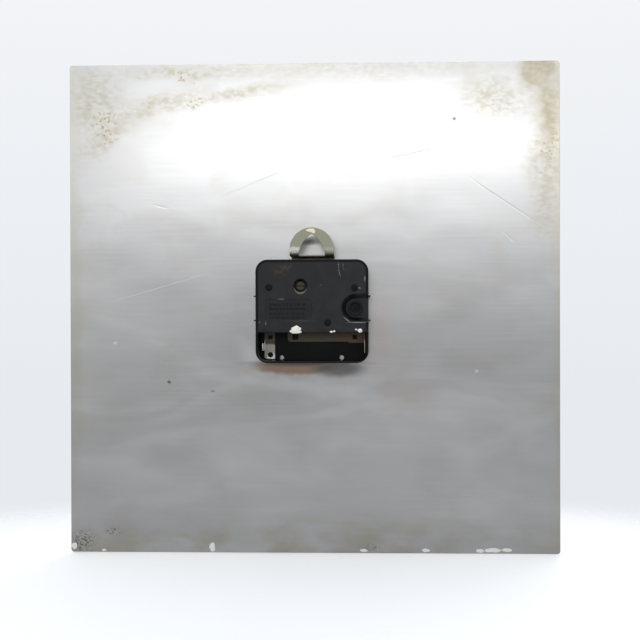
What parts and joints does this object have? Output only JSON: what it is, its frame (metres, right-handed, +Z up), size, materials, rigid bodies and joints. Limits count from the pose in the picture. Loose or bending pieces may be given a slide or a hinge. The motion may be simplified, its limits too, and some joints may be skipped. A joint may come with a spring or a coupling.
{
  "type": "service station advertising clock",
  "caption": "Square sheet-metal wall advertising clock with printed dial, three hands, and a black battery quartz movement with a bent metal hanger on its back.",
  "frame": {"origin": "where the wall nail bears: the top of the hanger's opening, in the wall plane at the back face of the hanger loop", "axes": "+Z up, +Y towards the wall, -Y the way the dial faces, +X to the right as the dial is read"},
  "size_m": [0.25, 0.0308, 0.25],
  "materials": {
    "plate_aluminium": "bare, brushed, stained, with scratches and paint traces",
    "hanger_zinc": "dull zinc plating",
    "case_plastic": "black, worn satin",
    "cover_plastic": "black, scratched satin",
    "knob_plastic": "black satin",
    "contact_metal": "tinned strip, dull",
    "brass": "turned",
    "washer_rubber": "matt",
    "train_plastic": "moulded",
    "plate_plastic": "moulded, natural",
    "arbor_steel": "ground",
    "stator_steel": "stamped",
    "magnet": "sintered",
    "copper": "enamelled wire",
    "board": "phenolic board",
    "chip": "epoxy",
    "crystal_can": "tinned can",
    "trimmer_beige": "ceramic and plated disc",
    "hand_black": "black paint",
    "hand_red": "red paint"
  },
  "bodies": {
    "clock": {"dial_plate": "plate_aluminium", "hanger_bracket": "hanger_zinc", "front_case": "case_plastic", "back_cover": "cover_plastic", "shaft_bush": "brass", "rubber_washer": "washer_rubber", "brass_washer": "brass", "hex_nut": "brass", "middle_plate": "plate_plastic", "train_bridge": "plate_plastic", "circuit_board": "board", "ic_chip": "chip", "quartz_crystal": "crystal_can", "trimmer_body": "train_plastic", "coil_core": "stator_steel", "coil_bobbin": "plate_plastic", "coil_winding": "copper", "stator_plate": "stator_steel", "positive_contact": "contact_metal", "negative_contact": "contact_metal"},
    "second": {"second_arbor": "arbor_steel", "second_wheel": "train_plastic", "second_hand": "hand_red"},
    "rotor": {"rotor_pinion": "train_plastic", "rotor_magnet": "magnet"},
    "intermediate": {"intermediate_wheel": "train_plastic"},
    "third": {"third_wheel": "train_plastic"},
    "centre": {"centre_wheel": "train_plastic", "clutch_spring": "arbor_steel"},
    "minute": {"minute_arbor": "brass", "minute_hand": "hand_black", "hand_nut": "brass"},
    "hour": {"hour_wheel": "plate_plastic", "hour_hand": "hand_black"},
    "minute_train": {"minute_wheel": "train_plastic"},
    "setting": {"setting_wheel": "train_plastic", "setting_knob": "knob_plastic"},
    "trimmer": {"trimmer_screw": "trimmer_beige"}
  },
  "joints": [
    {"name": "second_hand_spin", "type": "hinge", "parent": "clock", "child": "second", "pos_m": [0, -0.01, -0.0364], "axis": [0, 1, 0], "continuous": true},
    {"name": "rotor_spin", "type": "hinge", "parent": "clock", "child": "rotor", "pos_m": [-0.00676, -0.01, -0.02554], "axis": [0, 1, 0], "continuous": true},
    {"name": "intermediate_spin", "type": "hinge", "parent": "clock", "child": "intermediate", "pos_m": [-0.00396, -0.01, -0.03039], "axis": [0, 1, 0], "continuous": true},
    {"name": "third_wheel_spin", "type": "hinge", "parent": "clock", "child": "third", "pos_m": [0.0069, -0.01, -0.0378], "axis": [0, 1, 0], "continuous": true},
    {"name": "centre_wheel_spin", "type": "hinge", "parent": "clock", "child": "centre", "pos_m": [0, -0.01, -0.0364], "axis": [0, 1, 0], "continuous": true},
    {"name": "minute_hand_spin", "type": "hinge", "parent": "clock", "child": "minute", "pos_m": [0, -0.01, -0.0364], "axis": [0, 1, 0], "continuous": true},
    {"name": "hour_hand_spin", "type": "hinge", "parent": "clock", "child": "hour", "pos_m": [0, -0.01, -0.0364], "axis": [0, 1, 0], "continuous": true},
    {"name": "minute_wheel_spin", "type": "hinge", "parent": "clock", "child": "minute_train", "pos_m": [-0.00973, -0.01, -0.03408], "axis": [0, 1, 0], "continuous": true},
    {"name": "setting_knob_spin", "type": "hinge", "parent": "clock", "child": "setting", "pos_m": [-0.0215, -0.01, -0.0364], "axis": [0, 1, 0], "continuous": true},
    {"name": "trimmer_turn", "type": "hinge", "parent": "clock", "child": "trimmer", "pos_m": [0.0057, -0.01, -0.0254], "axis": [0, 1, 0], "continuous": true}
  ],
  "couplings": [
    {"joint": "rotor_spin", "follows": "second_hand_spin", "ratio": 30},
    {"joint": "intermediate_spin", "follows": "second_hand_spin", "ratio": -5},
    {"joint": "third_wheel_spin", "follows": "second_hand_spin", "ratio": -0.13333},
    {"joint": "centre_wheel_spin", "follows": "second_hand_spin", "ratio": 0.016667},
    {"joint": "hour_hand_spin", "follows": "minute_hand_spin", "ratio": 0.083333},
    {"joint": "minute_wheel_spin", "follows": "minute_hand_spin", "ratio": -0.33333},
    {"joint": "setting_knob_spin", "follows": "minute_hand_spin", "ratio": 0.55556}
  ]
}
